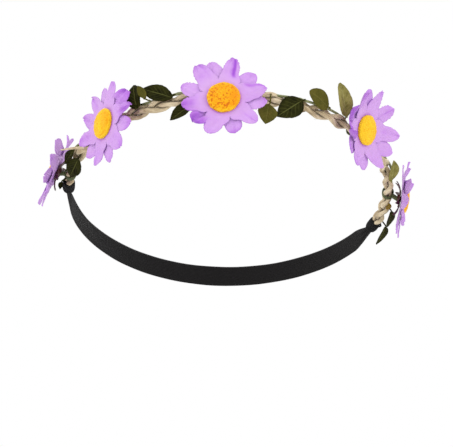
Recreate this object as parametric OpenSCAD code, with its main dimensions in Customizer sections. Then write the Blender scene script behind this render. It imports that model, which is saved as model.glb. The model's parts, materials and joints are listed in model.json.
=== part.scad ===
// Daisy flower crown: a braided cord band with leaves and five fabric daisies on short wire stems,
// closed behind the head by a flat elastic. The ring lies flat, its axis is Z, the front faces -Y,
// and the origin is the centre of the head opening.

/* [Band] */
// Half of the ring's width, ear to ear, measured to the middle of the braid
band_half_w = 78; // [74:1:82]
// Half of the ring's length, forehead to nape, measured to the middle of the braid
band_half_l = 98; // [94:1:102]
// Where the braid begins, in degrees from the front towards the wearer's left
braid_start = -84; // [-86:1:-84]
// Where the braid ends, in degrees from the front towards the wearer's left
braid_end = 110; // [109:1:113]

/* [Braid] */
// Radius of one cord strand
strand_r = 1.05; // [0.8:0.05:1.1]
// How far a strand swings up and down from the middle of the braid
strand_swing = 2.2; // [2.1:0.05:2.3]
// How far a strand goes in and out where it crosses the others
strand_depth = 1.55; // [1.5:0.05:1.6]
// Length of braid in which a strand returns to the same place
braid_period = 38; // [34:1:42]

/* [Flowers] */
// Radius of the daisies over the petal tips
petal_r = 20; // [18:0.5:20]
// Thickness of one layer of petal cloth
petal_t = 0.5; // [0.4:0.05:0.5]
// Radius of the yellow centre
centre_r = 7.2; // [6.6:0.1:8]
// How far the yellow centre stands out
centre_h = 3.8; // [3.6:0.1:4.5]
// Distance of the petals from the middle of the braid
flower_out = 7; // [7:0.1:7.5]
// Radius over the tips of the calyx's sepals
sepal_r = 9; // [7:0.5:9]

/* [Wire stems] */
// Radius of the peg that carries the flower
peg_r = 1.3; // [1.2:0.05:1.3]
// Radial clearance of the flower on its peg
peg_clearance = 0.1; // [0.08:0.01:0.1]
// Inner radius of the stem's turns round the braid
wrap_r = 3.75; // [3.7:0.05:3.8]
// Length of braid that the stem's turns cover
wrap_w = 3.2; // [2.4:0.2:3.2]

/* [Leaves] */
// Thickness of the leaf cloth
leaf_t = 0.5; // [0.4:0.05:0.5]
// Radius of the leaf garland's vine
vine_r = 0.85; // [0.5:0.05:0.85]

/* [Elastic] */
// Thickness of the elastic
elastic_t = 1; // [0.8:0.1:1.2]
// Width of the elastic behind the head
elastic_w = 11; // [9:0.5:12]
// Width of the elastic where it enters the bindings
elastic_end_w = 6.4; // [5.6:0.2:6.4]
// Length of the bindings that join braid and elastic
binding_w = 9; // [8:0.5:10]

/* [Hidden] */
up = [0, 0, 1];

// Each daisy: angle round the band, height of its middle, upward tilt, turn on its own axis,
// and how far it faces away from straight out, anticlockwise from above
flowers = [
    [-77, 1, 23, 10, 0],
    [-41, -3.5, -3, 4, -9],
    [-1.5, -4.8, 0, 12, 0],
    [47, -2.5, -19, 22, 5],
    [89, -3.5, -7, 0, 0],
];

// Each leaf: base and tip as [angle, distance out, height], width, fold, bow, twist about its length
leaves = [
    [[-30, 3.6, -0.5], [-31.5, 3.6, 12.5], 7.6, 22, 0.8, 0],
    [[-17.6, 3.6, 0.5], [-28.6, 3.6, 9.4], 7.4, 12, 0.6, 0],
    [[-26.2, 5.3, 2.4], [-28.4, 7.2, 9], 3.6, 8, 0.3, 0],
    [[-11.5, 3.7, -4.6], [-18.5, 4, -11], 6.4, 20, 0.4, 0],
    [[12, 4.6, -5], [11, 4.4, -15], 8.4, 8, 0.4, 0],
    [[23.6, 3.7, 1.4], [15, 3.4, -9.6], 9.6, 8, 0.3, 0],
    [[33.5, 3.6, 2.4], [26.4, 4, 7.2], 9.6, 6, 0.6, 0],
    [[41, 3.4, 1.5], [38.3, 4.5, 17.2], 9.6, 14, 0.8, 0],
    [[77, 2.4, -4], [68.5, 6.2, -0.8], 6, 14, 0.6, -50],
    [[96.5, 2.8, -4], [104, 3.8, -6.2], 5.6, 14, 0.5, 50],
    [[105.8, 3.6, -4.6], [114, 3.8, -8], 6.4, 14, 0.5, 55],
    [[-62, 2, -4.4], [-72.4, 1.4, -5.4], 7.2, 12, 0.5, -60],
    [[-61, 4.4, -0.8], [-70, 4.6, -0.8], 5, 10, 0.4, -30],
    [[-79.2, 3.7, -2.6], [-80.4, 4.6, -5.6], 3, 14, 0.3, -40],
    [[91.2, 1, -4], [95, 0.8, -4.2], 3, 10, 0.2, 80],
];
leaf_steps = 8;

// The vine runs along the top of the braid, from the first daisy on, between the stems' turns
vine_gap = 4;
vine_stops = concat([for (f = flowers) f[0]], [braid_end]);
vine_out = 1.6;
vine_sway = 0.4;
vine_up = strand_swing + strand_r + vine_r;
vine_step = 3;
vine_sides = 6;

strand_count = 3;
strand_sides = 6;
strand_step = 3;

// Heights along a daisy's own axis, from the middle of its petals outwards
layer_gap = 0.1;
front_layer = -0.1;
back_layer = front_layer - layer_gap - petal_t;
centre_base = front_layer + petal_t + layer_gap;
sepal_t = 0.5;
sepal_base = back_layer - 0.4 - sepal_t;
cup_base = sepal_base - 1;
peg_head_base = centre_base + 1.4;
peg_head_h = 1.2;
peg_head_r = 2.05;
socket_play = 0.15;
bore_r = peg_r + peg_clearance;
stub_r = peg_r - 0.15;
elbow = 0.3;

petals_in_layer = 6;
sepals = 8;
wrap_t = 0.45;

elastic_from = braid_end + 0.7;
elastic_to = 360 + braid_start - 0.7;
elastic_side_angle = 30;
elastic_taper_from = 3;
elastic_taper = 10;
elastic_step = 3;
elastic_gap = 0.15;

// Colours, close to the real cloth and cord
cord_colour = [0.80, 0.74, 0.60];
petal_colour = [0.84, 0.65, 0.94];
petal_back_colour = [0.75, 0.52, 0.88];
centre_colour = [0.98, 0.72, 0.12];
calyx_colour = [0.24, 0.06, 0.08];
stem_colour = [0.25, 0.30, 0.14];
leaf_colour = [0.22, 0.26, 0.12];
elastic_colour = [0.06, 0.05, 0.05];

// ---- Places round the band ----

function unit(v) = v / norm(v);

// A point at an angle round the band, some way outwards from the middle of the braid and up
function beside(a, out = 0, rise = 0) =
    [band_half_w * sin(a), -band_half_l * cos(a), 0] + out * outwards(a) + rise * up;

function outwards(a) = unit([band_half_l * sin(a), -band_half_w * cos(a), 0]);

// Length of the ellipse from the front to an angle, to within a millimetre
function arc_to(a) =
    (band_half_w + band_half_l) / 2 * a * PI / 180 - (band_half_l - band_half_w) / 4 * sin(2 * a);

// ---- Closed solids from a list of rings of points ----

module loft(rings) {
    n = len(rings[0]);
    last = (len(rings) - 1) * n;
    sides = [
        for (i = [0:len(rings) - 2], j = [0:n - 1], half = [0, 1])
            let (a = i * n + j, b = i * n + (j + 1) % n)
            half == 0 ? [a, b, b + n] : [a, b + n, a + n]
    ];
    polyhedron(
        points = [for (ring = rings, p = ring) p],
        faces = concat([[for (j = [n - 1:-1:0]) j]], sides, [[for (j = [0:n - 1]) last + j]])
    );
}

// Rings of a round cord along a path, each square to the path
function cord_rings(path, r, sides) = [
    for (i = [0:len(path) - 1])
        let (
            ahead = unit(path[min(i + 1, len(path) - 1)] - path[max(i - 1, 0)]),
            across = unit(cross(ahead, up)),
            over = cross(across, ahead)
        )
        [for (j = [0:sides - 1])
            path[i] + r * cos(360 * j / sides) * across + r * sin(360 * j / sides) * over]
];

// ---- Braid ----

function strand_point(a, k) =
    let (phase = 360 * (arc_to(a) / braid_period + k / strand_count))
    beside(a, strand_depth * sin(2 * phase), strand_swing * sin(phase));

module braid_strand(k) {
    count = ceil((braid_end - braid_start) / strand_step) * strand_step;
    path = [for (i = [0:count]) strand_point(braid_start + (braid_end - braid_start) * i / count, k)];
    color(cord_colour) loft(cord_rings(path, strand_r, strand_sides));
}

// A turned part with its axis along the band
module round_band(a) {
    translate(beside(a))
        rotate([0, 90, atan2(band_half_l * sin(a), band_half_w * cos(a))])
        children();
}

module binding(a) {
    color(elastic_colour) round_band(a)
        rotate_extrude($fn = 48)
        translate([wrap_r, -binding_w / 2])
        square([0.75, binding_w]);
}

// A loose end of cord that sticks out beside the first daisy
module cord_tail() {
    from = beside(-55.5, 2.6, -4);
    to = beside(-64.5, 8.8, 0.8);
    reach = to - from;
    color(cord_colour)
        translate(from)
        rotate([0, acos(reach[2] / norm(reach)), atan2(reach[1], reach[0])])
        cylinder(h = norm(reach), r1 = 0.8, r2 = 0.3, $fn = 24);
}

// ---- Elastic ----

function elastic_half_w(a) =
    let (run = min(a - elastic_from, elastic_to - a) - elastic_taper_from)
    let (part = min(1, max(0, run / elastic_taper)))
    (elastic_end_w + (elastic_w - elastic_end_w) * part) / 2;

module elastic(from, to) {
    count = ceil((to - from) / elastic_step);
    color(elastic_colour) loft([
        for (i = [0:count])
            let (a = from + (to - from) * i / count, h = elastic_half_w(a), t = elastic_t / 2)
            [beside(a, t, -h), beside(a, t, h), beside(a, -t, h), beside(a, -t, -h)]
    ]);
}

// ---- Leaves and vine ----

// Width of a leaf along its length, from base to tip, as a share of its widest
function leaf_outline(u) = max(0.1, pow(sin(180 * pow(u, 0.85)), 0.8));

module leaf(k) {
    spec = leaves[k];
    base = beside(spec[0][0], spec[0][1], spec[0][2]);
    tip = beside(spec[1][0], spec[1][1], spec[1][2]);
    along = unit(tip - base);
    face = outwards((spec[0][0] + spec[1][0]) / 2);
    level = unit(cross(face, along));
    side = cos(spec[5]) * level + sin(spec[5]) * cross(along, level);
    front = cross(along, side);
    color(leaf_colour) loft([
        for (i = [0:leaf_steps])
            let (
                u = i / leaf_steps,
                w = spec[2] / 2 * leaf_outline(u),
                spine = base + u * (tip - base) + spec[4] * sin(180 * u) * front,
                edge = w * cos(spec[3]) * side,
                raised = w * sin(spec[3]) * front,
                back = -leaf_t * front
            )
            [spine + back, spine - edge + raised + back, spine - edge + raised,
             spine, spine + edge + raised, spine + edge + raised + back]
    ]);
}

module vine(k) {
    from = vine_stops[k] + vine_gap;
    to = vine_stops[k + 1] - vine_gap;
    count = ceil((to - from) / vine_step);
    path = [
        for (i = [0:count])
            let (a = from + (to - from) * i / count)
            beside(a, vine_out + vine_sway * sin(15 * a), vine_up)
    ];
    color(stem_colour) loft(cord_rings(path, vine_r, vine_sides));
}

// ---- Daisies ----

// Puts a part on a daisy's axis, with Z pointing out of its face
module on_flower(k) {
    f = flowers[k];
    translate(beside(f[0], flower_out, f[1]))
        rotate([0, 90 - f[2], heading(f)])
        children();
}

function heading(f) = atan2(outwards(f[0])[1], outwards(f[0])[0]) + f[4];

function flower_axis(f) = cos(f[2]) * [cos(heading(f)), sin(heading(f)), 0] + sin(f[2]) * up;

// The wire stem: its turns round the braid, the short stub, and the peg with its snap-in head
module stem(k) {
    f = flowers[k];
    middle = beside(f[0]);
    foot = beside(f[0], flower_out, f[1]) + cup_base * flower_axis(f);
    reach = foot - middle;
    color(stem_colour) {
        round_band(f[0])
            rotate_extrude($fn = 48)
            translate([wrap_r, -wrap_w / 2])
            square([wrap_t, wrap_w]);
        translate(middle + unit(reach) * (wrap_r + 0.1))
            rotate([0, acos(reach[2] / norm(reach)), atan2(reach[1], reach[0])])
            cylinder(h = norm(reach) - wrap_r + elbow, r = stub_r, $fn = 32);
        on_flower(k) {
            translate([0, 0, cup_base - elbow])
                cylinder(h = peg_head_base - cup_base + 2 * elbow, r = peg_r, $fn = 32);
            translate([0, 0, peg_head_base])
                cylinder(h = peg_head_h, r = peg_head_r, $fn = 32);
        }
    }
}

module calyx(k) {
    points = [
        for (i = [0:2 * sepals - 1])
            let (r = i % 2 == 0 ? sepal_r : sepal_r * 0.5, a = 180 * i / sepals)
            r * [cos(a), sin(a)]
    ];
    color(calyx_colour) on_flower(k) difference() {
        union() {
            translate([0, 0, sepal_base])
                linear_extrude(sepal_t)
                polygon(points);
            translate([0, 0, cup_base + 0.05])
                cylinder(h = sepal_base - cup_base + 0.2, r1 = peg_r + 1, r2 = sepal_r * 0.45, $fn = 40);
        }
        translate([0, 0, cup_base - 1])
            cylinder(h = 5, r = peg_r + 0.05, $fn = 32);
    }
}

// Half-width of a petal at a distance from the middle, both as shares of the daisy's radius
petal_edge = [[0.5, 0.28], [0.62, 0.24], [0.74, 0.195], [0.86, 0.14], [0.95, 0.08], [1, 0.03]];

module petal_layer(k, base, turn) {
    half = petal_edge * petal_r;
    last = len(half) - 1;
    outline = [
        for (p = [0:petals_in_layer - 1])
            let (a = 360 * p / petals_in_layer, along = [cos(a), sin(a)], side = [-sin(a), cos(a)])
            each concat(
                [for (i = [0:last]) half[i][0] * along - half[i][1] * side],
                [for (i = [last:-1:0]) half[i][0] * along + half[i][1] * side]
            )
    ];
    on_flower(k) rotate([0, 0, flowers[k][3] + turn]) translate([0, 0, base]) difference() {
        linear_extrude(petal_t) polygon(outline);
        translate([0, 0, -1]) cylinder(h = 3, r = bore_r, $fn = 32);
    }
}

module petals_front(k) {
    color(petal_colour) petal_layer(k, front_layer, 0);
}

module petals_back(k) {
    color(petal_back_colour) petal_layer(k, back_layer, 180 / petals_in_layer);
}

// The domed centre, hollow where it snaps over the peg's head
module flower_centre(k) {
    dome = [for (t = [0:15:90]) [centre_r * cos(t), centre_base + 1 + (centre_h - 1) * sin(t)]];
    socket_base = peg_head_base - socket_play;
    socket_top = peg_head_base + peg_head_h + socket_play;
    socket_r = peg_head_r + socket_play;
    color(centre_colour) on_flower(k) rotate_extrude($fn = 60) polygon(concat(
        [[bore_r, centre_base], [centre_r, centre_base]],
        dome,
        [[0, socket_top], [socket_r, socket_top], [socket_r, socket_base], [bore_r, socket_base]]
    ));
}

// ---- Nodes ----

for (k = [0:strand_count - 1])
    braid_strand(k);
binding(braid_start);  // binding_left
binding(braid_end);  // binding_right
cord_tail();
elastic(elastic_from, elastic_from + elastic_side_angle - elastic_gap);  // elastic_side_right
elastic(elastic_from + elastic_side_angle, elastic_to - elastic_side_angle);  // elastic_back
elastic(elastic_to - elastic_side_angle + elastic_gap, elastic_to);  // elastic_side_left
for (k = [0:len(vine_stops) - 2])
    vine(k);
for (k = [0:len(leaves) - 1])
    leaf(k);
for (k = [0:len(flowers) - 1]) {
    stem(k);
    calyx(k);
    petals_back(k);
    petals_front(k);
    flower_centre(k);
}
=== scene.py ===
"""Daisy flower crown: the looks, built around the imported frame."""
import json
import math
import random

import bpy
import bmesh
import numpy as np
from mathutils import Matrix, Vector, noise
from mathutils.bvhtree import BVHTree
from mathutils.kdtree import KDTree


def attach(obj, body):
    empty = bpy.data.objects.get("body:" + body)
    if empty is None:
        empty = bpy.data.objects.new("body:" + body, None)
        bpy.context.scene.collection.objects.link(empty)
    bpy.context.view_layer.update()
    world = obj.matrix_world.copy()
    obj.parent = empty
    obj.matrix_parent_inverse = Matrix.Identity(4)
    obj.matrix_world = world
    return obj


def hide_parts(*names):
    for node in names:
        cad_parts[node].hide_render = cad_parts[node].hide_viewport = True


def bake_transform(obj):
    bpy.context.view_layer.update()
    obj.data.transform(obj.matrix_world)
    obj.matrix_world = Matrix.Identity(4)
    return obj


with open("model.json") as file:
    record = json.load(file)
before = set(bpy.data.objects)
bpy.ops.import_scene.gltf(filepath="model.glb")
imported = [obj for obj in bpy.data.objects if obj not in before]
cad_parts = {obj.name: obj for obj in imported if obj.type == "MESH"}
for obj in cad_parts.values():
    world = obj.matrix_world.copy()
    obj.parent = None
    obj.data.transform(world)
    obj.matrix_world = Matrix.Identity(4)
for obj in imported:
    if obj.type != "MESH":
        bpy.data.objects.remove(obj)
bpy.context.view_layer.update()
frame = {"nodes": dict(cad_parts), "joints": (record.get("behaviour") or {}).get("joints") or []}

MM = 0.001
UP = Vector((0, 0, 1))

# ---- the band: its oval, angles and period are the CAD's
BAND_HALF_W = 78 * MM
BAND_HALF_L = 98 * MM
BRAID_START = -84
BRAID_END = 110
BRAID_PERIOD = 38 * MM
STRAND_SWING = 2.0 * MM
STRAND_DEPTH = 1.45 * MM
STRAND_R = 1.12 * MM
STRANDS = 3
FIBRES = 150

JOINTS = {j["name"]: j for j in frame["joints"]}
DAISIES = range(1, 6)
LEAVES = range(1, 16)
VINES = range(1, 6)


def mix(a, b, t):
    return a + (b - a) * t


def smooth(t):
    t = min(1, max(0, t))
    return t * t * (3 - 2 * t)


def bell(x, width):
    return math.exp(-(x / width) ** 2)


def any_way(rng):
    return Vector([rng.uniform(-1, 1) for _ in range(3)])


def outwards(a):
    t = math.radians(a)
    return Vector((BAND_HALF_L * math.sin(t), -BAND_HALF_W * math.cos(t), 0)).normalized()


def tangent(a):
    t = math.radians(a)
    return Vector((BAND_HALF_W * math.cos(t), BAND_HALF_L * math.sin(t), 0)).normalized()


def beside(a, out=0, rise=0):
    """A point at an angle round the band, in degrees from the front, some way outwards and up."""
    t = math.radians(a)
    middle = Vector((BAND_HALF_W * math.sin(t), -BAND_HALF_L * math.cos(t), 0))
    return middle + out * outwards(a) + rise * UP


def arc_to(a):
    """Metres along the oval from its front to an angle."""
    t = math.radians(a)
    mean = (BAND_HALF_W + BAND_HALF_L) / 2
    return mean * t - (BAND_HALF_L - BAND_HALF_W) / 4 * math.sin(2 * t)


def band_angle(point):
    return math.degrees(math.atan2(point.x / BAND_HALF_W, -point.y / BAND_HALF_L))


FLOWER_ANGLES = [band_angle(Vector(JOINTS[f"daisy_nod_{k}"]["pos_m"])) for k in DAISIES]


# ---- mesh helpers
def new_piece(name, points, faces, uvs=None):
    """A mesh object; uvs is a list of (u, v) for each corner of each face."""
    mesh = bpy.data.meshes.new(name)
    mesh.from_pydata([tuple(p) for p in points], [], faces)
    if uvs is not None:
        layer = mesh.uv_layers.new(name="pattern")
        flat = [c for face in uvs for corner in face for c in corner]
        layer.data.foreach_set("uv", flat)
    mesh.polygons.foreach_set("use_smooth", [True] * len(mesh.polygons))
    mesh.update()
    piece = bpy.data.objects.new(name, mesh)
    bpy.context.scene.collection.objects.link(piece)
    return piece


def finish_piece(piece, body, slot, material, *nodes):
    piece.data.materials.append(material)
    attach(piece, body)
    if nodes:
        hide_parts(*nodes)


def paint(piece, name, values):
    """Gives a piece a value for each point, for its material to read."""
    piece.data.attributes.new(name, "FLOAT", "POINT").data.foreach_set("value", values)


def join_shapes(shapes):
    """Joins (points, faces, uvs) triples into one."""
    points, faces, uvs = [], [], []
    for some_points, some_faces, some_uvs in shapes:
        start = len(points)
        points.extend(some_points)
        faces.extend([tuple(i + start for i in f) for f in some_faces])
        uvs.extend(some_uvs)
    return points, faces, uvs


def path_frames(path, reference=UP):
    """Directions across and over for each point of a path."""
    frames = []
    for i in range(len(path)):
        ahead = (path[min(i + 1, len(path) - 1)] - path[max(i - 1, 0)]).normalized()
        across = ahead.cross(reference).normalized()
        frames.append((across, across.cross(ahead)))
    return frames


def tube(path, radius, sides=12, reference=UP, section=None):
    """A round cord along a path. radius is a number or a function of the row's share of the way;
    section(angle, along) scales it for ridges. The uv's v is metres along, u is the turn."""
    count = len(path)
    along = [0.0]
    for i in range(1, count):
        along.append(along[-1] + (path[i] - path[i - 1]).length)
    points, faces, uvs = [], [], []
    for i, (point, (across, over)) in enumerate(zip(path, path_frames(path, reference))):
        r = radius(i / (count - 1)) if callable(radius) else radius
        for j in range(sides):
            angle = 2 * math.pi * j / sides
            scale = section(angle, along[i]) if section else 1
            points.append(point + r * scale * (math.cos(angle) * across + math.sin(angle) * over))
    for i in range(count - 1):
        for j in range(sides):
            k = (j + 1) % sides
            faces.append((i * sides + j, (i + 1) * sides + j, (i + 1) * sides + k, i * sides + k))
            u0, u1 = j / sides, (j + 1) / sides
            uvs.append(((u0, along[i]), (u0, along[i + 1]), (u1, along[i + 1]), (u1, along[i])))
    faces.append(tuple(range(sides)))
    uvs.append(((0, 0),) * sides)
    faces.append(tuple(reversed(range((count - 1) * sides, count * sides))))
    uvs.append(((0, along[-1]),) * sides)
    return points, faces, uvs


def grid(rows, columns):
    """Places on a surface, row by row: (u along the rows from 0 to 1, t across them from -1 to 1)."""
    return [(i / rows, mix(-1, 1, j / columns)) for i in range(rows + 1) for j in range(columns + 1)]


def slab(rows, columns, uv_at):
    """Faces and uvs of a closed slab. Its points are a grid of the front, row by row, then one of the
    back. uv_at(u, t) gives the pattern's place, both from 0 to 1, u along the rows and t across."""
    wide = columns + 1
    layer = (rows + 1) * wide
    faces = []
    for p in [i * wide + j for i in range(rows) for j in range(columns)]:
        faces.append((p, p + wide, p + wide + 1, p + 1))
        faces.append((layer + p, layer + p + 1, layer + p + wide + 1, layer + p + wide))
    rim = [i * wide for i in range(rows, 0, -1)] + list(range(columns))
    rim += [i * wide + columns for i in range(rows)] + [rows * wide + j for j in range(columns, 0, -1)]
    faces += [(p, q, layer + q, layer + p) for p, q in zip(rim, rim[1:] + rim[:1])]
    uvs = [[uv_at(c % layer // wide / rows, c % layer % wide / columns) for c in face] for face in faces]
    return faces, uvs


def curve_points(corners, steps):
    """A smooth path through a few points (Catmull-Rom)."""
    ends = [corners[0] * 2 - corners[1]] + list(corners) + [corners[-1] * 2 - corners[-2]]
    path = []
    for i in range(1, len(ends) - 2):
        a, b, c, d = ends[i - 1:i + 3]
        for s in range(steps):
            t = s / steps
            path.append(0.5 * (2 * b + (c - a) * t + (2 * a - 5 * b + 4 * c - d) * t ** 2
                               + (3 * b - a - 3 * c + d) * t ** 3))
    path.append(corners[-1])
    return path


# ---- materials
class Nodes:
    """A small helper that adds nodes to a material and links them."""

    def __init__(self, name):
        self.material = bpy.data.materials.new(name)
        self.material.use_nodes = True
        self.tree = self.material.node_tree
        self.bsdf = self.tree.nodes["Principled BSDF"]

    def add(self, kind, settings=None, **inputs):
        node = self.tree.nodes.new(kind)
        for key, value in (settings or {}).items():
            setattr(node, key, value)
        for key, value in inputs.items():
            self.set(node, key.replace("_", " "), value)
        return node

    def set(self, node, key, value):
        socket = node.inputs[int(key)] if key.isdigit() else node.inputs[key]
        if isinstance(value, bpy.types.NodeSocket):
            self.tree.links.new(value, socket)
        else:
            socket.default_value = value

    def math(self, operation, *values):
        node = self.add("ShaderNodeMath", {"operation": operation})
        for i, value in enumerate(values):
            self.set(node, str(i), value)
        return node.outputs[0]

    def uv(self):
        """The pattern's place as a vector, and then as its two values."""
        place = self.add("ShaderNodeUVMap", {"uv_map": "pattern"}).outputs[0]
        split = self.add("ShaderNodeSeparateXYZ", Vector=place)
        return place, split.outputs[0], split.outputs[1]

    def position(self):
        return self.add("ShaderNodeTexCoord").outputs["Object"]

    def attribute(self, name):
        return self.add("ShaderNodeAttribute", {"attribute_name": name}).outputs["Fac"]

    def noise(self, vector, scale, detail=3.0, roughness=0.55):
        node = self.add("ShaderNodeTexNoise", Vector=vector, Scale=scale, Detail=detail, Roughness=roughness)
        return node.outputs["Fac"]

    def stretch(self, vector, scale):
        return self.add("ShaderNodeMapping", Vector=vector, Scale=scale).outputs[0]

    def total(self, *terms):
        """The sum of (value, share) pairs."""
        parts = [self.math("MULTIPLY", value, share) for value, share in terms]
        whole = parts[0]
        for part in parts[1:]:
            whole = self.math("ADD", whole, part)
        return whole

    def around(self, value):
        """Brings a value of 0 to 1 to either side of nought."""
        return self.math("SUBTRACT", value, 0.5)

    def sine(self, value, rate):
        return self.math("SINE", self.math("MULTIPLY", value, rate))

    def weave(self, across, across_rate, along, along_rate):
        return self.math("MULTIPLY", self.sine(across, across_rate), self.sine(along, along_rate))

    def line(self, value, sharpness):
        """1 where the value is nought, and 0 a little way from there."""
        near = self.math("SMOOTH_MIN", self.math("MULTIPLY", value, sharpness), 1.0, 0.1)
        return self.math("SUBTRACT", 1.0, near)

    def ramp(self, value, *stops):
        node = self.add("ShaderNodeValToRGB", Fac=value)
        elements = node.color_ramp.elements
        while len(elements) < len(stops):
            elements.new(0.5)
        for element, (place, colour) in zip(elements, stops):
            element.position = place
            element.color = (*colour, 1)
        return node.outputs["Color"]

    def blend(self, share, colour, other):
        """Mixes a colour socket with a plain colour; 0, 6 and 7 are the colour mix's inputs."""
        node = self.add("ShaderNodeMix", {"data_type": "RGBA"})
        for key, value in (("0", share), ("6", colour), ("7", (*other, 1))):
            self.set(node, key, value)
        return node.outputs[2]

    def bump(self, height, distance, strength):
        return self.add("ShaderNodeBump", Height=height, Strength=strength, Distance=distance).outputs[0]

    def out(self, colour, roughness, normal=None, **extras):
        self.set(self.bsdf, "Base Color", colour)
        self.set(self.bsdf, "Roughness", roughness)
        if normal is not None:
            self.set(self.bsdf, "Normal", normal)
        for key, value in extras.items():
            self.set(self.bsdf, key.replace("_", " "), value)
        return self.material


def srgb(*levels):
    """A linear colour from the usual 0 to 255 values."""
    shares = [level / 255 for level in levels]
    return [c / 12.92 if c <= 0.04045 else ((c + 0.055) / 1.055) ** 2.4 for c in shares]


def cord_material():
    """Twisted paper cord: long slanting fibres, slow changes of tone and a fine knit of dots."""
    n = Nodes("paper_cord")
    uv, turn, along = n.uv()
    ply = n.math("PINGPONG", n.total((turn, 3.0), (along, 200.0)), 0.5)
    fibres = n.noise(n.stretch(uv, (34.0, 260.0, 1.0)), 1.0, 4.0, 0.7)
    patches = n.noise(n.position(), 110.0)
    dots = n.weave(turn, 2 * math.pi * 11, along, 2 * math.pi / (0.75 * MM))
    tone = n.total((ply, 0.14), (fibres, 0.7), (n.around(patches), 0.8), (dots, 0.06))
    colour = n.ramp(tone, (0.12, srgb(112, 92, 64)), (0.3, srgb(168, 148, 114)),
                    (0.48, srgb(206, 189, 156)), (0.7, srgb(230, 218, 190)))
    # painted shade: darker where another strand lies close
    colour = n.blend(n.math("MULTIPLY", n.attribute("shade"), 0.8), colour, srgb(70, 55, 38))
    height = n.total((ply, 0.35), (fibres, 0.6), (dots, 0.12))
    return n.out(colour, 0.7, n.bump(height, 0.0002, 0.8), Sheen_Weight=0.1,
                 Sheen_Roughness=0.6, Specular_IOR_Level=0.3)


def petal_material():
    """Lilac cloth with a fine weave; its colour darkens with painted shade in the grooves, hollows and
    overlaps, round the yellow middle and on petals that lie in shade, with some random tone besides.
    """
    n = Nodes("petal_cloth")
    _, across, along = n.uv()
    patches = n.noise(n.position(), 120.0, 2.0)
    mottle = n.noise(n.position(), 900.0)
    # painted shade and random tone from the petal mesh, with noise patches, set how dark the lilac is
    painted_shade_and_tone = n.total((n.attribute("petal_shade_and_tone"), 1.0), (n.around(patches), 0.6), (n.around(mottle), 0.16))
    colour = n.ramp(painted_shade_and_tone, (0.0, srgb(196, 154, 214)), (0.3, srgb(191, 144, 214)),
                    (0.65, srgb(172, 108, 206)), (1.0, srgb(148, 76, 194)))
    height = n.total((n.weave(across, 1500.0, along, 9000.0), 0.25), (mottle, 0.6))
    return n.out(colour, 0.62, n.bump(height, 0.00008, 0.5), Sheen_Weight=0.12,
                 Sheen_Roughness=0.45, Sheen_Tint=(1.0, 0.84, 0.96, 1.0), Specular_IOR_Level=0.25)


def centre_material():
    """Yellow flock, orange between the tufts, with a few darker specks."""
    n = Nodes("flock_yellow")
    grain = n.noise(n.position(), 2600.0, 2.0)
    tone = n.total((n.attribute("tone"), 1.0), (n.around(grain), 0.35))
    colour = n.ramp(tone, (0.0, srgb(196, 104, 8)), (0.25, srgb(228, 136, 8)),
                    (0.55, srgb(226, 156, 6)), (1.0, srgb(240, 196, 36)))
    return n.out(colour, 0.85, n.bump(grain, 0.00012, 0.7), Sheen_Weight=0.4,
                 Sheen_Roughness=0.5, Sheen_Tint=(1.0, 0.85, 0.4, 1.0), Specular_IOR_Level=0.15)


def leaf_material(name, dark, light, vein, gloss):
    """Printed satin leaf: side veins run from the midrib towards the tip."""
    n = Nodes(name)
    _, across, along = n.uv()
    side = n.math("ABSOLUTE", across)
    rib = n.math("PINGPONG", n.total((along, 7.0), (side, -2.2)), 0.5)
    towards_edge = n.math("SUBTRACT", 1.0, n.math("POWER", side, 1.5))
    side_vein = n.math("MULTIPLY", n.line(rib, 9.0), towards_edge)
    veins = n.math("MAXIMUM", n.math("MULTIPLY", side_vein, 0.45), n.line(side, 14.0))
    patches = n.noise(n.position(), 260.0)
    fine = n.noise(n.position(), 1700.0, 2.0)
    tone = n.total((patches, 1.0), (n.around(fine), 0.3))
    colour = n.blend(veins, n.ramp(tone, (0.3, dark), (0.7, light)), vein)
    height = n.total((veins, -0.8), (n.weave(across, 120.0, along, 260.0), 0.12))
    return n.out(colour, gloss, n.bump(height, 0.00016, 0.7), Specular_IOR_Level=0.03)


def plastic_material(name, dark, light, gloss):
    """Moulded or taped plastic with slight mottling and fine scuffs."""
    n = Nodes(name)
    mottle = n.noise(n.position(), 420.0, 4.0)
    scuffs = n.noise(n.stretch(n.position(), (1.0, 1.0, 4.0)), 1500.0, 3.0, 0.7)
    colour = n.ramp(mottle, (0.3, dark), (0.75, light))
    rough = n.math("ADD", gloss, n.total((n.around(scuffs), 0.25)))
    return n.out(colour, rough, n.bump(scuffs, 0.00006, 0.5), Specular_IOR_Level=0.45)


def elastic_material():
    """Black woven elastic: lengthwise ribs crossed by fine weft."""
    n = Nodes("elastic_weave")
    _, across, along = n.uv()
    ribs = n.sine(across, 2 * math.pi * 14)
    weft = n.sine(along, 2 * math.pi / (0.55 * MM))
    weave = n.math("MULTIPLY", n.math("ADD", ribs, 1.0), n.math("ADD", weft, 1.0))
    fuzz = n.noise(n.position(), 2200.0)
    colour = n.ramp(n.total((weave, 0.16), (fuzz, 0.4)), (0.15, srgb(6, 5, 5)), (0.9, srgb(24, 20, 22)))
    height = n.total((weave, 0.25), (fuzz, 0.25))
    return n.out(colour, 0.75, n.bump(height, 0.0002, 0.9), Sheen_Weight=0.04,
                 Sheen_Roughness=0.5, Specular_IOR_Level=0.18)


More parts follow.
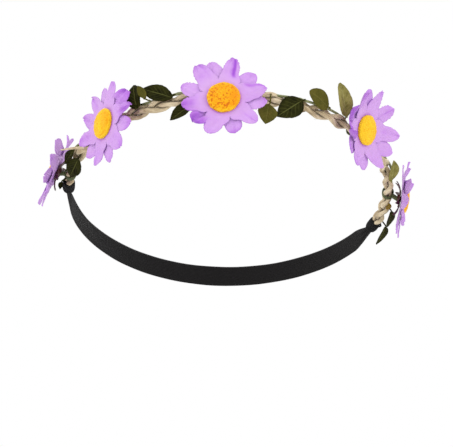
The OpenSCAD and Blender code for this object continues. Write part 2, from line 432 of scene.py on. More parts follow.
CORD = cord_material()
PETAL = petal_material()
CENTRE = centre_material()
LEAF_FRONT = leaf_material("leaf_front", srgb(22, 22, 4), srgb(46, 47, 14), srgb(92, 94, 48), 0.6)
LEAF_BACK = leaf_material("leaf_back", srgb(70, 68, 24), srgb(90, 84, 34), srgb(100, 96, 46), 0.7)
LEAF_LIGHT = leaf_material("leaf_light", srgb(106, 100, 48), srgb(140, 133, 76),
                           srgb(164, 160, 104), 0.6)
LEAF_BUD = leaf_material("leaf_bud", srgb(122, 100, 34), srgb(146, 122, 50), srgb(160, 138, 70), 0.6)
CALYX = plastic_material("calyx_plastic", srgb(44, 10, 16), srgb(84, 26, 32), 0.42)
STEM = plastic_material("stem_tape", srgb(52, 60, 28), srgb(84, 92, 46), 0.6)
VINE = plastic_material("vine_plastic", srgb(100, 106, 64), srgb(142, 144, 100), 0.5)
ELASTIC = elastic_material()


# ---- camera, light and floor
# How many degrees below the band's plane the camera looks up from, how far away, and its aim
CAMERA_BELOW = 25.7
CAMERA_DISTANCE = 1.0
AIM_ASIDE = -0.98 * MM
AIM_UP = -14.26 * MM
LENS = 162.1
# Each light's place, size and watts
LIGHTS = {
    "key": ((-0.55, -1.15, 0.85), 0.8, 3.0),
    "fill": ((1.0, -0.9, 0.05), 0.7, 4.0),
    "low": ((-0.1, -1.1, -0.5), 0.8, 1.5),
    "side": ((-1.2, -0.35, 0.1), 0.7, 2.5),
    "rim": ((0.4, 1.0, 1.0), 0.9, 5),
}
# The room's white light on the crown, and the white that the camera sees behind it
ROOM_LIGHT = 1.05
ROOM_SEEN = 1.0
FLOOR_HALF = 4
FLOOR_LEVEL = -0.6


def make_room():
    scene = bpy.context.scene
    scene.view_settings.view_transform = "Standard"
    world = bpy.data.worlds.new("soft_room")
    scene.world = world
    world.use_nodes = True
    tree = world.node_tree
    light = tree.nodes["Background"]
    seen = tree.nodes.new("ShaderNodeBackground")
    for background, strength in ((light, ROOM_LIGHT), (seen, ROOM_SEEN)):
        background.inputs["Color"].default_value = (1, 1, 1, 1)
        background.inputs["Strength"].default_value = strength
    choose = tree.nodes.new("ShaderNodeMixShader")
    path = tree.nodes.new("ShaderNodeLightPath")
    tree.links.new(path.outputs["Is Camera Ray"], choose.inputs[0])
    tree.links.new(light.outputs[0], choose.inputs[1])
    tree.links.new(seen.outputs[0], choose.inputs[2])
    tree.links.new(choose.outputs[0], tree.nodes["World Output"].inputs["Surface"])


def place_camera():
    scene = bpy.context.scene
    below = math.radians(CAMERA_BELOW)
    ahead = Vector((0, math.cos(below), math.sin(below)))
    over = Vector((0, -math.sin(below), math.cos(below)))
    lens = bpy.data.cameras.new("camera")
    lens.sensor_width = 36
    lens.lens = LENS
    camera = bpy.data.objects.new("camera", lens)
    scene.collection.objects.link(camera)
    camera.location = AIM_UP * over + Vector((AIM_ASIDE, 0, 0)) - CAMERA_DISTANCE * ahead
    camera.rotation_euler = ahead.to_track_quat("-Z", "Y").to_euler()
    scene.camera = camera


def place_lights():
    for name, (spot, size, watts) in LIGHTS.items():
        light = bpy.data.lights.new(name, "AREA")
        light.shape = "DISK"
        light.size = size
        light.energy = watts
        lamp = bpy.data.objects.new(name, light)
        lamp.location = spot
        lamp.rotation_euler = (-Vector(spot)).to_track_quat("-Z", "Y").to_euler()
        bpy.context.scene.collection.objects.link(lamp)


def make_floor():
    corners = [(x * FLOOR_HALF, y * FLOOR_HALF, FLOOR_LEVEL) for x, y in ((-1, -1), (1, -1), (1, 1), (-1, 1))]
    floor = new_piece("floor", corners, [(0, 1, 2, 3)])
    floor.data.materials.append(Nodes("pale_floor").out((0.86, 0.86, 0.86, 1), 0.8))


# ---- the braid and its bindings
def wander(point, size, reach, seed):
    """A small, smooth, repeatable shift that depends on the place."""
    q = point / size + Vector((seed * 7.3, seed * 3.1, seed * 5.7))
    return reach * Vector([noise.noise(q + Vector(far)) for far in ((0, 0, 0), (31, 0, 0), (0, 47, 0))])


def pulled_in(a):
    """The share of the plait's swing that is left at an angle, by the wires and in the bindings."""
    def held(places, reach):
        return max(math.exp(-((arc_to(a) - arc_to(place)) / reach) ** 4) for place in places)

    wires = held(FLOWER_ANGLES, 3.6 * MM)
    ends = held((BRAID_START, BRAID_END), 7 * MM)
    return 1 - max(0.3 * wires, 0.42 * ends)


def strand_path(k):
    rows = 620
    path = []
    for i in range(rows):
        a = mix(BRAID_START, BRAID_END, i / (rows - 1))
        phase = 2 * math.pi * (arc_to(a) / BRAID_PERIOD + k / STRANDS)
        pull = pulled_in(a)
        point = beside(a, pull * STRAND_DEPTH * math.sin(2 * phase), pull * STRAND_SWING * math.sin(phase))
        path.append(point + wander(point, 11 * MM, 0.42 * smooth((pull - 0.7) / 0.25) * MM, k + 1))
    return path


def make_strand(k, paths):
    def section(angle, along):
        twist = 2 * math.pi * along / (15 * MM)
        flat = 0.07 * math.cos(2 * (angle - 0.4 * twist))
        plies = 0.05 * math.cos(3 * (angle - twist)) + 0.02 * math.cos(7 * (angle - twist) + 1)
        place = Vector((2.2 * math.cos(angle), 2.2 * math.sin(angle) + k * 9.0, along / (3 * MM)))
        grain = 0.05 * noise.noise(place)
        swell = 0.05 * noise.noise(Vector((along / (8 * MM), k * 5.0, 0)))
        return 1 + flat + plies + grain + swell

    points, faces, uvs = tube(paths[k], STRAND_R, 22, section=section)
    strand = new_piece(f"cord_strand_{k + 1}", points, faces, uvs)
    others = [point for j, path in enumerate(paths) if j != k for point in path]
    near = KDTree(len(others))
    for i, point in enumerate(others):
        near.insert(point, i)
    near.balance()
    # Painted shade: the cord is darker where another strand lies close to it.
    paint(strand, "shade", [1 - smooth((near.find(point)[2] - STRAND_R) / (1.1 * MM)) for point in points])
    finish_piece(strand, "root", "cord", CORD, f"braid_strand_{k + 1}")


def make_fibres(paths):
    """Fine loose hairs that stand off the paper cord."""
    rng = random.Random(11)
    shapes = []
    for _ in range(FIBRES):
        path = paths[rng.randrange(len(paths))]
        i = rng.randrange(20, len(path) - 20)
        ahead = (path[i + 1] - path[i]).normalized()
        away = any_way(rng).cross(ahead).normalized()
        foot = path[i] + away * STRAND_R * 0.9
        reach = rng.uniform(0.8, 2.6) * MM
        bend = any_way(rng) * 0.5
        corners = [foot, foot + reach * 0.5 * (ahead * rng.choice((-1, 1)) + 0.35 * away + 0.3 * bend)]
        corners.append(corners[1] + reach * 0.5 * (bend + 0.4 * away))
        hair = curve_points(corners, 3)
        shapes.append(tube(hair, lambda t: (0.05 - 0.03 * t) * MM, 4, reference=Vector((0.3, 0.5, 0.81))))
    fibres = new_piece("cord_fibres", *join_shapes(shapes))
    finish_piece(fibres, "root", "cord", CORD)


def coil_round(a, inner, wire, width, turns, taper=0.0, squeeze=1.0):
    """Wire or thread wound round the band at an angle; squeeze brings its outer and inner sides in."""
    middle, along, out = beside(a), tangent(a), outwards(a)
    per_turn = 26
    count = int(per_turn * turns)
    path = []
    for i in range(count + 1):
        t = i / count
        angle = 2 * math.pi * turns * t
        pull = taper * (smooth((t - 0.75) / 0.25) + smooth((0.25 - t) / 0.25))
        r = inner + wire - pull
        round_it = r * (squeeze * math.cos(angle) * out + math.sin(angle) * UP)
        path.append(middle + along * (t - 0.5) * (width - 2 * wire) + round_it)
    return tube(path, wire, 9, reference=along)


def sleeve(a, radii, width):
    """A closed ring round the band: radii is the (place along, radius) profile."""
    middle, along, out = beside(a), tangent(a), outwards(a)
    sides = 40
    points, faces, uvs = [], [], []
    for x, r in radii:
        for j in range(sides):
            angle = 2 * math.pi * j / sides
            points.append(middle + along * x * width / 2 + r * (math.cos(angle) * out + math.sin(angle) * UP))
    rows = len(radii)
    for i in range(rows):
        n = (i + 1) % rows
        for j in range(sides):
            k = (j + 1) % sides
            faces.append((i * sides + j, n * sides + j, n * sides + k, i * sides + k))
            uvs.append(((j / sides, i * MM), (j / sides, n * MM), (k / sides, n * MM), (k / sides, i * MM)))
    return points, faces, uvs


def make_binding(name, a):
    """Thread wound over the place where the plait meets the elastic, with a knot outside."""
    width = 9 * MM
    thread = 0.34 * MM
    half_ring = [(-0.96, 1.5 * MM), (-0.93, 2.2 * MM), (-0.6, 2.5 * MM)]
    ring = half_ring + [(-x, r) for x, r in reversed(half_ring)]
    turns = width / (2 * thread)
    shapes = [coil_round(a, 2.4 * MM, thread, width, turns, taper=0.25 * MM), sleeve(a, ring, width)]
    along, out = tangent(a), outwards(a)
    knot_at = beside(a, 3.3 * MM)
    knot = []
    for i in range(25):
        t = 2 * math.pi * i / 24
        knot.append(knot_at + (math.cos(t) * along + math.sin(t) * UP + 0.35 * math.sin(2 * t) * out) * MM)
    shapes.append(tube(knot, thread, 8, reference=out))
    piece = new_piece(f"{name}_winding", *join_shapes(shapes))
    finish_piece(piece, "root", "elastic", ELASTIC, name)


def make_cord_tail():
    start, end = beside(-55.5, 2.6 * MM, -4 * MM), beside(-64.5, 8.8 * MM, 0.8 * MM)
    middle = (start + end) / 2 + Vector((0, 0, 0.25 * MM))
    path = curve_points([start, middle, end], 18)

    def section(angle, along):
        return 1 + 0.09 * math.cos(3 * (angle - 2 * math.pi * along / (5 * MM)))

    shapes = [tube(path, lambda t: mix(0.8, 0.34, t) * MM, 18, section=section)]
    rng = random.Random(5)
    ahead = (end - middle).normalized()
    for _ in range(7):
        aside = any_way(rng) * 0.3 * MM
        tip = end + ahead * rng.uniform(0.3, 0.8) * MM + aside
        shapes.append(tube(curve_points([end - ahead * 0.4 * MM, end + 0.3 * aside, tip], 3), 0.06 * MM, 4))
    piece = new_piece("cord_tail_frayed", *join_shapes(shapes))
    finish_piece(piece, "root", "cord", CORD, "cord_tail")


# ---- the elastic
def make_elastic():
    """A flat woven band from binding to binding, gathered at both ends."""
    gap = 0.7
    narrow_half, full_half = 2.3 * MM, 5.5 * MM
    start, end = BRAID_END + gap, 360 + BRAID_START - gap
    rows, columns = 420, 56
    length = arc_to(end) - arc_to(start)
    points = []
    for side in (1, -1):
        for u, x in grid(rows, columns):
            a = mix(start, end, u)
            from_end = min(a - start, end - a)
            half_w = mix(narrow_half, full_half, smooth((from_end - 2) / 11))
            gathered = 1 - smooth((from_end - 2) / 12)
            rib = 0.09 * MM * math.cos(2 * math.pi * x * 7)
            weft = 0.035 * MM * math.sin(2 * math.pi * length * u / (1.3 * MM))
            edge = 1 - 0.75 * smooth((abs(x) - 0.9) / 0.1)
            thick = (0.42 * MM + rib + weft) * edge
            pleat = gathered * 0.5 * MM * math.sin(x * 8 + 0.7)
            sway = 0.3 * MM * noise.noise(Vector((u * 14, x * 0.8, 3)))
            points.append(beside(a, side * thick + pleat + sway, x * half_w))
    faces, uvs = slab(rows, columns, lambda u, t: (t, u * length))
    piece = new_piece("elastic_band", points, faces, uvs)
    piece.data.materials.append(ELASTIC)
    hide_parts("elastic_side_left", "elastic_back", "elastic_side_right")
    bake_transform(piece)


# ---- vine and leaves
# Degrees between a daisy and the vine's end, and over which the end sinks into the plait
VINE_GAP = 4
VINE_DIVE = 4.5
VINE_R = 0.62 * MM


def vine_point(a):
    """Woven along the plait's top outer edge, and sunk between the strands at its two ends."""
    to_end = min(abs(a - stop) for stop in FLOWER_ANGLES + [BRAID_END]) - VINE_GAP
    up = smooth((to_end + 0.5) / VINE_DIVE)
    out = 1.7 + 0.8 * math.sin(math.radians(15 * a))
    rise = 2.2 + 0.35 * math.sin(math.radians(21 * a))
    return beside(a, mix(0.3, out, up) * MM, mix(0.6, rise, up) * MM)


def make_vines():
    """A length of vine between each daisy and the next, thicker every 31 mm and nearly square."""
    nodes_at = 31 * MM

    def section(angle, along):
        near = abs((along / nodes_at + 0.5) % 1 - 0.5) * nodes_at
        return 1 + 0.22 * bell(near, 0.9 * MM) + 0.07 * math.cos(4 * angle)

    stops = FLOWER_ANGLES + [BRAID_END]
    for k in VINES:
        a0, a1 = stops[k - 1] + VINE_GAP, stops[k] - VINE_GAP
        count = max(12, int(abs(a1 - a0) * 5))
        path = [vine_point(mix(a0, a1, i / count)) for i in range(count + 1)]
        piece = new_piece(f"garland_vine_{k}", *tube(path, VINE_R, 14, section=section))
        finish_piece(piece, "root", "vine", VINE, f"vine_{k}")


# Leaves with broad ends, leaves whose stalks go in between the strands, and unusual looks
ROUND_LEAVES = {1, 7, 8}
TUCKED_LEAVES = range(9, 16)
LEAF_LOOKS = {3: LEAF_BACK, 5: LEAF_BACK, 7: LEAF_BACK, 8: LEAF_LIGHT, 9: LEAF_LIGHT, 15: LEAF_BUD}


def leaf_frame(node):
    """A CAD leaf's base, its directions along, across and out, its length, half-width and surface."""
    body = frame["nodes"][node]
    points = [body.matrix_world @ v.co for v in body.data.vertices]
    centre = sum(points, Vector()) / len(points)
    spread = np.array([tuple(p - centre) for p in points])
    axes = np.linalg.eigh(spread.T @ spread)[1]
    along, across = Vector(axes[:, 2]), Vector(axes[:, 1])
    ends = [min(points, key=lambda p: p.dot(along)), max(points, key=lambda p: p.dot(along))]
    off = [(p - beside(band_angle(p))).length for p in ends]
    if off[0] > off[1]:
        ends.reverse()
        along = -along
    out = along.cross(across)
    if out.dot(outwards(band_angle(centre))) < 0:
        across, out = -across, -out
    half = max(abs((p - ends[0]).dot(across)) for p in points)
    tree = BVHTree.FromPolygons(points, [tuple(p.vertices) for p in body.data.polygons])
    return ends[0], along, across, out, (ends[1] - ends[0]).dot(along), half, tree


def make_leaf(k):
    base, along, across, out, length, half, tree = leaf_frame(f"leaf_{k}")
    rows, columns = 36, 20
    far = 20 * MM
    veins = 5 + k % 3
    thick = 0.3 * MM
    plump = 0.55 if k in ROUND_LEAVES else 0.8
    middle, last_height = [], 0
    for u, t in grid(rows, columns):
        wide = half * max(0.05, math.sin(math.pi * u ** 0.85) ** plump)
        notch = 1 + 0.05 * abs(t) * noise.noise(Vector((u * 13, k * 3.0, t)))
        flat = base + along * length * u + across * t * wide * notch
        hit = tree.ray_cast(flat + out * far, -out, 2 * far)[0]
        back = tree.ray_cast(flat - out * far, out, 2 * far)[0]
        if hit is not None and back is not None:
            last_height = (((hit + back) / 2) - flat).dot(out)
        height = last_height - 0.22 * MM * bell(t, 0.1) * math.sin(math.pi * u) ** 0.5
        slant = u * veins * 1.4 - abs(t) * 1.1
        height += 0.07 * MM * math.cos(2 * math.pi * slant) * (1 - abs(t)) * min(1, 6 * abs(t))
        height += 0.22 * MM * noise.noise(Vector((u * 3, t * 1.2, k * 7.0)))
        middle.append((flat, height, t))
    points = [flat + out * (height + side * thick / 2 * (1 - 0.7 * abs(t) ** 6))
              for side in (1, -1) for flat, height, t in middle]
    shapes = [(points, *slab(rows, columns, lambda u, t: (2 * t - 1, u)))]
    stalk = tucked_stalk(base, along) if k in TUCKED_LEAVES else vine_stalk(base, along)
    if stalk is not None:
        shapes.append(stalk)
    piece = new_piece(f"cloth_leaf_{k}", *join_shapes(shapes))
    finish_piece(piece, "root", "leaf", LEAF_LOOKS.get(k, LEAF_FRONT), f"leaf_{k}")


def tucked_stalk(base, along):
    """A short stalk from a leaf's base in between the strands."""
    middle = beside(band_angle(base))
    corners = [base + along * 0.6 * MM, base - along * 0.5 * MM, mix(base, middle, 0.5) - along * 0.8 * MM]
    return tube(curve_points(corners, 5), 0.36 * MM, 8, reference=Vector((0.3, 0.2, 0.93)))


def vine_stalk(base, along):
    """A thin stalk from a leaf's base round the braid's outside to the vine, unless a daisy is there."""
    a = band_angle(base)
    clear = 3.9 * MM
    ahead = 1.2
    if min(abs(a - f) for f in FLOWER_ANGLES) < VINE_GAP:
        return None
    offset, end = base - beside(a), vine_point(a + ahead) - beside(a + ahead)
    start, goal = (math.atan2(v.z, v.dot(outwards(a))) for v in (offset, end))
    corners = [base + along * 0.6 * MM]
    steps = 5
    for i in range(steps + 1):
        t = i / steps
        angle = mix(start, goal, t)
        if t < 0.4:
            reach = mix(offset.length, clear, smooth(t / 0.4))
        else:
            reach = mix(clear, end.length, smooth((t - 0.4) / 0.6))
        corners.append(beside(a + ahead * t, reach * math.cos(angle), reach * math.sin(angle)))
    return tube(curve_points(corners, 5), 0.34 * MM, 8, reference=tangent(a))


# ---- the daisies
class Daisy:
    """Places local points: x across, y up, z out along the flower's axis, in metres."""

    def __init__(self, k):
        joint = JOINTS[f"daisy_spin_{k}"]
        self.k = k
        self.hub = Vector(joint["pos_m"])
        self.axis = Vector(joint["axis"]).normalized()
        if self.axis.dot(outwards(band_angle(self.hub))) < 0:
            self.axis = -self.axis
        self.across = UP.cross(self.axis).normalized()
        self.upright = self.axis.cross(self.across)

    def at(self, x, y, z):
        return self.hub + x * self.across + y * self.upright + z * self.axis

    def around(self, turn, r, aside, z):
        """The point r out along a spoke, in radians from the right, and aside from it."""
        x = r * math.cos(turn) - aside * math.sin(turn)
        y = r * math.sin(turn) + aside * math.cos(turn)
        return self.at(x, y, z)


HOLE_R = 1.6 * MM
HUB_R = 9.4 * MM
CONE_FROM = 6.5 * MM
# A petal's half-width at its widest
BLADE_HALF = 3.8 * MM
PETAL_THICK = 0.3 * MM
# How steeply each daisy's petals rise forwards
CONE = {1: 0.03, 2: -0.02, 3: 0.02, 4: 0.05, 5: 0.0}

# Front petals' angles and lengths (mm) for each daisy, then the back ones', anticlockwise from the right
FRONT = {
    1: [(20, 19), (82, 18.5), (139, 19.4), (200, 18), (262, 19), (318, 18.4)],
    2: [(6, 18.8), (68, 20), (118, 20.2), (186, 19), (247, 19.4), (306, 19.8)],
    3: [(13, 19.6), (77, 20.1), (128, 20), (193, 19), (253, 19.6), (319, 19.6)],
    4: [(18, 19.6), (88, 20.2), (140, 18.8), (204, 18.8), (262, 18), (322, 19.2)],
    5: [(0, 18.6), (58, 19), (121, 18.5), (180, 19), (242, 18.3), (301, 19)],
}
BACK = {
    1: [(52, 18.2), (110, 18.8), (168, 17.8), (232, 18.6), (290, 17.6), (347, 18.4)],
    2: [(36, 19.2), (95, 19.4), (152, 18.8), (216, 18.4), (276, 19.4), (338, 18.6)],
    3: [(42, 18.3), (107, 18.6), (163, 20), (223, 18.8), (289, 18.4), (350, 19.4)],
    4: [(52, 19.6), (112, 18.8), (172, 18.8), (233, 17.4), (292, 18.3), (352, 19)],
    5: [(29, 18), (90, 18.8), (151, 17.8), (211, 18.8), (271, 18.2), (331, 17.8)],
}
# Petals shaped one by one: daisy, layer, number -> what differs from the usual draw
# A tone here is painted shade on a petal that curls back or lies in shade; a stripe is a band of painted
# shade where a petal overlaps or twists.
SHAPED = {
    (1, "front", 0): {"curl": 3.8, "arch": 0.6, "cup": 0.3, "tone": 0},
    (1, "back", 5): {"curl": 3.8, "tone": 0},
    (1, "front", 5): {"curl": 1.6, "arch": 0.6, "tone": 0}, (1, "back", 0): {"curl": 2.0, "tone": 0},
    (1, "front", 1): {"curl": -0.6, "arch": 0.3}, (1, "front", 2): {"curl": 0.2},
    (1, "back", 1): {"curl": -0.8},
    (1, "front", 3): {"curl": 0.4, "teeth": 0.3}, (1, "front", 4): {"curl": -0.5, "teeth": 0.34},
    (1, "back", 3): {"curl": -0.6}, (1, "back", 4): {"curl": -1.0},
    (3, "front", 0): {"stripe": (0.75, 0.5), "twist": -1.0, "curl": 1.6, "blunt": 1.5, "round": 0.5},
    (3, "front", 1): {"stripe": (-0.35, 0.75), "groove": 0.4, "curl": 0.8, "blunt": 1.9},
    (3, "front", 2): {"tone": 0.1, "curl": 1.0, "blunt": 2.1, "narrow": 1.12},
    (3, "front", 3): {"curl": 2.8, "tone": 0.5, "cup": 1.0, "twist": 1.0, "ripple": 0.5},
    (3, "back", 3): {"curl": 3.4, "tone": 0.7, "cup": 1.4, "twist": 0.8, "ripple": 0.9, "blunt": 2.6},
    (3, "back", 1): {"tone": 0.05, "narrow": 1.1},
    (2, "front", 0): {"tone": 0.6, "twist": -1.1, "curl": -2.0, "ripple": 0.5},
    (2, "back", 0): {"tone": 0.7, "twist": 0.8, "curl": -1.6, "ripple": 0.6},
    (2, "front", 1): {"blunt": 1.4, "narrow": 0.84, "curl": -0.4},
    (2, "back", 1): {"blunt": 1.5, "narrow": 0.84, "curl": -0.4},
    (2, "front", 2): {"blunt": 1.6, "narrow": 0.86, "curl": 0.2},
    (2, "front", 3): {"teeth": 0.3, "blunt": 2.6, "curl": 2.6},
    (2, "back", 2): {"curl": 2.0}, (2, "back", 3): {"curl": 1.8},
    (2, "front", 4): {"curl": 0.4}, (2, "front", 5): {"curl": -0.8},
    (2, "back", 4): {"curl": -0.6}, (2, "back", 5): {"curl": -2.0},
    (4, "front", 0): {"curl": 5.4, "arch": 0.5}, (4, "front", 5): {"curl": 4.4, "arch": 0.4},
    (4, "back", 0): {"curl": 4.4}, (4, "back", 5): {"curl": 5.2},
    (4, "front", 1): {"blunt": 1.1, "round": 0.3, "teeth": 0.22, "curl": 1.6},
    (4, "front", 2): {"curl": 3.8, "cup": 1.8, "tone": 0.3, "ripple": 0.7},
    (4, "front", 3): {"curl": 4.0, "cup": 1.6, "twist": 1.4, "tone": 0.75, "ripple": 0.9},
    (4, "back", 2): {"curl": 3.0, "tone": 0.8, "cup": 1.2, "ripple": 0.8},
    (4, "back", 3): {"curl": 2.2, "tone": 0.5},
    (5, "front", 3): {"curl": 3.2, "arch": 0.7, "cup": 0.4, "tone": 0},
    (5, "front", 4): {"curl": 1.4, "tone": 0},
    (5, "back", 2): {"curl": 2.6, "tone": 0}, (5, "back", 3): {"curl": 3.0, "tone": 0},
    (5, "front", 1): {"curl": -0.2}, (5, "front", 2): {"curl": 1.4}, (5, "back", 1): {"curl": -0.6},
    (5, "back", 4): {"curl": -0.8}, (5, "back", 5): {"curl": -0.6}, (5, "front", 5): {"curl": -0.3},
}


def petal_style(k, layer, number, rng):
    front = layer == "front"
    style = {
        "round": rng.uniform(0.42, 0.62),
        "blunt": rng.uniform(1.5, 2.3),
        "narrow": rng.uniform(0.92, 1.08),
        "curl": rng.uniform(0.8, 2.2) if front else rng.uniform(0.4, 1.4),
        "arch": rng.uniform(-0.4, 0.3),
        "groove": rng.uniform(0.05, 0.25),
        "cup": rng.uniform(-0.4, 0.6) if front else rng.uniform(-0.5, 0.2),
        "twist": rng.uniform(-0.5, 0.5),
        "bend": rng.uniform(-0.9, 0.9),
        "teeth": rng.choice((0.04, 0.08, 0.14, 0.22)),
        "tone": rng.choice((0.0, 0.0, 0.08, 0.16, 0.28)),
        "stripe": (rng.uniform(-0.6, 0.6), rng.choice((0.0, 0.0, 0.15))),
        "ripple": rng.uniform(0.0, 0.25),
        "seed": rng.uniform(0, 100),
    }
    style.update(SHAPED.get((k, layer, number), {}))
    return style


def petal_surface(style, length, edge, r, t):
    """Where a petal's point lies: r from the hub, t across it, as (aside, forward, darkness); the darkness is
    mostly painted shade, with some random tone.
    """
    u = min(1, max(0, (r - HUB_R) / (length - HUB_R)))
    seed = style["seed"]
    blade = mix(edge, BLADE_HALF * style["narrow"], smooth(u / 0.42))
    ending = max(0, (u - style["round"]) / (1 - style["round"]))
    half = blade * max(0.05, 1 - ending ** style["blunt"]) ** 0.5
    jag = noise.noise(Vector((u * 16, seed, 3 * math.copysign(1, t)))) * style["teeth"] * 2
    jag += style["teeth"] * (abs(math.sin(u * 22 + seed)) - 0.5)
    half += jag * abs(t) ** 6 * smooth((u - 0.25) / 0.4) * MM
    fade = smooth(u * 2.2)
    groove = bell(t, 0.2) + 0.4 * bell(t - 0.5, 0.12) + 0.4 * bell(t + 0.5, 0.12)
    wave = noise.noise(Vector((u * 2.2, t * 1.1, seed)))
    fine = noise.noise(Vector((u * 5.0, t * 4.0, seed + 20)))
    forward = style["curl"] * u ** 1.8 + style["arch"] * math.sin(math.pi * u)
    forward += style["cup"] * t * t * u + style["twist"] * t * u
    forward += fade * (0.5 * wave + 0.14 * fine - style["groove"] * groove * (1 - 0.4 * u))
    forward += fade * style["ripple"] * math.sin(5.5 * t + 3 * u + seed)
    aside = t * half + style["bend"] * MM * u * u
    # Darkness of the colour: the petal's tone is painted shade on listed petals that lie in shade, and random
    # on the rest
    stripe_at, stripe = style["stripe"]
    petal_shade_and_tone = 0.08 + 0.62 * style["tone"] * smooth(u * 1.6)
    # painted shade along the grooves
    petal_shade_and_tone += 0.9 * groove * style["groove"] * fade * (1 - 0.5 * u)
    # a band of painted shade where a listed petal overlaps or twists; faint and random on others
    petal_shade_and_tone += stripe * bell(t - stripe_at, 0.2) * smooth(u * 3)
    # darker towards the tip and along the side edges, with painted shade in the hollows of the wave
    petal_shade_and_tone += 0.2 * smooth((u - 0.6) / 0.4) + 0.3 * max(0, -wave - 0.1) + 0.12 * abs(t) ** 5 * fade
    return aside, forward * MM, petal_shade_and_tone


def make_petals(daisy, layer, petals, base):
    """One layer of a daisy: six petals cut from a single piece of cloth, joined round the hub."""
    rng = random.Random(daisy.k * 31 + (7 if layer == "front" else 0))
    inner_rows, outer_rows, columns = 8, 34, 18
    rows = inner_rows + outer_rows
    points, faces, uvs, petal_shades_and_tones = [], [], [], []
    for p, (angle, length) in enumerate(petals):
        length *= MM
        before, after = petals[p - 1][0], petals[(p + 1) % len(petals)][0]
        right = math.radians(((angle - before) % 360) / 2)
        left = math.radians(((after - angle) % 360) / 2)
        style = petal_style(daisy.k, layer, p, rng)
        turn = math.radians(angle)
        start = len(points)
        for i in range(rows + 1):
            for j in range(columns + 1):
                t = mix(-1, 1, j / columns)
                reach = left if t > 0 else right
                spoke = turn + t * reach
                if i <= inner_rows:
                    r = mix(HOLE_R, HUB_R, i / inner_rows)
                    x, y, z, petal_shade_and_tone = r * math.cos(spoke), r * math.sin(spoke), 0, 0.08
                else:
                    u = 1 - (1 - (i - inner_rows) / outer_rows) ** 1.5
                    r = mix(HUB_R, length, u)
                    aside, z, petal_shade_and_tone = petal_surface(style, length, HUB_R * math.tan(reach), r, t)
                    near = smooth((r - HUB_R) / (3.0 * MM))
                    x = mix(r * math.cos(spoke), r * math.cos(turn) - aside * math.sin(turn), near)
                    y = mix(r * math.sin(spoke), r * math.sin(turn) + aside * math.cos(turn), near)
                    # painted shade in the notch between two petals
                    if abs(t) == 1 and i == inner_rows + 1:
                        petal_shade_and_tone += 0.1
                # painted shadow round the yellow centre
                petal_shade_and_tone += 0.5 * math.exp(-max(0, r - 7.2 * MM) / (0.9 * MM))
                unevenness = noise.noise(Vector((x, y, 0)) / (3.5 * MM) + Vector((0, 0, daisy.k)))
                z += CONE[daisy.k] * max(0, r - CONE_FROM) + 0.12 * MM * unevenness
                points.append(daisy.at(x, y, base + z))
                petal_shades_and_tones.append(petal_shade_and_tone)
        wide = columns + 1
        for i in range(rows):
            for j in range(columns):
                cell = ((i + 1, j), (i + 1, j + 1), (i, j + 1), (i, j))
                faces.append([start + row * wide + column for row, column in cell])
                uvs.append([(column / columns + p, row / outer_rows) for row, column in cell])
    piece = new_piece(f"daisy_{daisy.k}_{layer}_petals", points, faces, uvs)
    paint(piece, "petal_shade_and_tone", petal_shades_and_tones)
    weld_and_thicken(piece, PETAL_THICK)
    finish_piece(piece, f"daisy_{daisy.k}", "petal", PETAL, f"petals_{layer}_{daisy.k}")


def weld_and_thicken(piece, thickness):
    """Joins the petals of a layer where they meet, and gives the cloth its thickness."""
    mesh = piece.data
    bm = bmesh.new()
    bm.from_mesh(mesh)
    bmesh.ops.remove_doubles(bm, verts=bm.verts, dist=0.004 * MM)
    bm.to_mesh(mesh)
    bm.free()
    solid = piece.modifiers.new("cloth", "SOLIDIFY")
    solid.thickness = thickness
    solid.offset = 0
    graph = bpy.context.evaluated_depsgraph_get()
    made = bpy.data.meshes.new_from_object(piece.evaluated_get(graph))
    piece.modifiers.clear()
    piece.data = made
    made.polygons.foreach_set("use_smooth", [True] * len(made.polygons))


# Each daisy's centre: its radius in millimetres, how speckled it is and how pale
CENTRES = {
    1: (7.0, 0.6, 0.55), 2: (7.0, 0.35, 0.78), 3: (7.4, 1.0, 0.5), 4: (6.9, 0.15, 0.8), 5: (7.0, 0.6, 0.55),
}


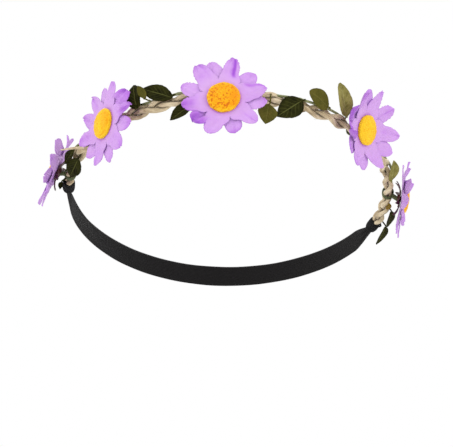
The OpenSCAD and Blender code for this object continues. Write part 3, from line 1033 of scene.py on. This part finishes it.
def make_centre(daisy):
    """A flocked dome: small grains stand proud all over it, orange in between."""
    rows, columns = 52, 176
    radius, specks, pale = CENTRES[daisy.k]
    radius *= MM
    foot, wall, rise = 0.5 * MM, 0.7 * MM, 2.1 * MM
    shift = Vector((daisy.k * 13.7, daisy.k * 4.1, 2.0))

    def flocked(t, turn):
        """A point t of the way from the dome's foot to its top, and how pale it is."""
        if t < 0.1:
            flat, up, steep = radius, foot + wall * t / 0.1, 0.0
        else:
            angle = math.pi / 2 * (t - 0.1) / 0.9
            flat, up, steep = radius * math.cos(angle), foot + wall + rise * math.sin(angle), math.sin(angle)
        here = Vector((flat * math.cos(turn), flat * math.sin(turn), up))
        away = Vector((math.cos(turn) * (1 - steep), math.sin(turn) * (1 - steep), 0.25 + steep)).normalized()
        cells = noise.voronoi(here / (0.72 * MM) + shift)[0]
        grain = min(1, (cells[1] - cells[0]) * 1.8)
        rough = noise.fractal(here / (0.45 * MM) + shift, 1.0, 2.0, 3)
        lump = noise.noise(here / (2.4 * MM) + shift)
        moved = here + away * (0.26 * grain + 0.1 * rough + 0.22 * lump - 0.1) * MM
        blot = noise.noise(here / (0.75 * MM) + shift * 2)
        corner = smooth((2 * MM - moved.x - moved.y) / (9 * MM))
        # painted shade: the dome is darker, with fewer specks, towards its local +x side
        side = smooth((moved.x - 1 * MM) / (6 * MM))
        tone = pale + 0.25 * grain + 0.14 * rough + 0.15 * lump - 0.3 * side
        tone += 0.3 * smooth((flat - 6.0 * MM) / MM)
        tone -= specks * 0.65 * smooth((-blot - 0.22 + 0.16 * corner) / 0.16) * (1 - 0.7 * side)
        return daisy.at(*moved), min(1, max(0, tone))

    places = [(i / rows, 2 * math.pi * j / columns) for i in range(rows) for j in range(columns)]
    top = len(places)
    points, tones = zip(*[flocked(t, turn) for t, turn in places + [(1, 0)]])
    faces = [tuple(reversed(range(columns)))]
    for i in range(0, top, columns):
        for j in range(columns):
            n = (j + 1) % columns
            upper = (top,) if i + columns == top else (i + columns + n, i + columns + j)
            faces.append((i + j, i + n, *upper))
    piece = new_piece(f"daisy_{daisy.k}_flocked_centre", points, faces)
    paint(piece, "tone", tones)
    finish_piece(piece, f"daisy_{daisy.k}", "centre", CENTRE, f"flower_centre_{daisy.k}")


def lathe(daisy, profile, sides=36):
    """A closed turned shape on the flower's axis, from (radius, height) pairs in millimetres."""
    points, faces = [], []
    for r, z in profile:
        for j in range(sides):
            points.append(daisy.around(2 * math.pi * j / sides, r * MM, 0, z * MM))
    last = (len(profile) - 1) * sides
    for i in range(0, last, sides):
        for j in range(sides):
            n = (j + 1) % sides
            faces.append((i + j, i + n, i + sides + n, i + sides + j))
    if profile[0] != profile[-1]:
        faces += [tuple(reversed(range(sides))), tuple(range(last, last + sides))]
    return points, faces, [[(0, 0)] * len(face) for face in faces]


def make_calyx(daisy):
    """A small cup with eight narrow sepals that curl back from the petals."""
    rng = random.Random(60 + daisy.k)
    cup = [(1.42, -0.95), (1.42, -2.62), (2.1, -2.62), (2.5, -2.3), (3.0, -1.9), (3.9, -1.55), (4.4, -1.2),
           (4.3, -0.98), (1.42, -0.95)]
    shapes = [lathe(daisy, cup)]
    rows, columns = 16, 8
    for s in range(8):
        turn = math.radians(45 * s + rng.uniform(-4, 4))
        length = rng.uniform(8.4, 9.2) * MM
        curl = -0.4 - 2.2 * abs(math.sin(turn)) + rng.uniform(-0.4, 0.2)
        skew = rng.uniform(-0.5, 0.5) * MM
        points = []
        for side in (1, -1):
            for u, t in grid(rows, columns):
                r = mix(3.2 * MM, length, u)
                half = 1.75 * MM * (1 - u) ** 0.6 * mix(0.75, 1, smooth(u * 4)) + 0.08 * MM
                z = (-1.3 + curl * u * u - 0.22 * (1 - abs(t)) + side * 0.2 * (1 - 0.5 * t * t)) * MM
                points.append(daisy.around(turn, r, t * half + skew * u * u, z))
        shapes.append((points, *slab(rows, columns, lambda u, t: (0, 0))))
    piece = new_piece(f"daisy_{daisy.k}_calyx", *join_shapes(shapes))
    finish_piece(piece, f"stem_{daisy.k}", "calyx", CALYX, f"calyx_{daisy.k}")


def make_stem(daisy):
    """Taped wire: wound round the braid, led out to the flower, and ending in a headed peg."""
    a = FLOWER_ANGLES[daisy.k - 1]
    wire = 0.36 * MM
    shapes = [coil_round(a, inner=2.5 * MM, wire=wire, width=3.2 * MM, turns=4.25, squeeze=0.9)]
    middle = beside(a)
    foot = daisy.at(0, 0, -2.7 * MM)
    start = middle + (foot - middle).normalized() * 2.4 * MM
    path = [mix(start, foot, i / 10) for i in range(11)]
    path.append(foot + daisy.axis * 0.3 * MM)

    def section(angle, along):
        return 1 + 0.06 * math.cos(angle + 2 * math.pi * along / (0.9 * MM))

    shapes.append(tube(path, 1.15 * MM, 18, section=section))
    shapes.append(lathe(daisy, [(1.3, -3.0), (1.3, 1.9), (2.05, 1.8), (2.05, 2.4), (1.6, 2.6)]))
    piece = new_piece(f"daisy_{daisy.k}_wire_stem", *join_shapes(shapes))
    finish_piece(piece, f"stem_{daisy.k}", "stem", STEM, f"stem_{daisy.k}")


# ---- build
make_room()
place_camera()
place_lights()
make_floor()
strand_paths = [strand_path(k) for k in range(STRANDS)]
for strand in range(STRANDS):
    make_strand(strand, strand_paths)
make_fibres(strand_paths)
make_binding("binding_left", BRAID_START)
make_binding("binding_right", BRAID_END)
make_cord_tail()
make_elastic()
make_vines()
for leaf in LEAVES:
    make_leaf(leaf)
for number in DAISIES:
    flower = Daisy(number)
    make_stem(flower)
    make_calyx(flower)
    make_petals(flower, "back", BACK[number], -0.45 * MM)
    make_petals(flower, "front", FRONT[number], 0.15 * MM)
    make_centre(flower)
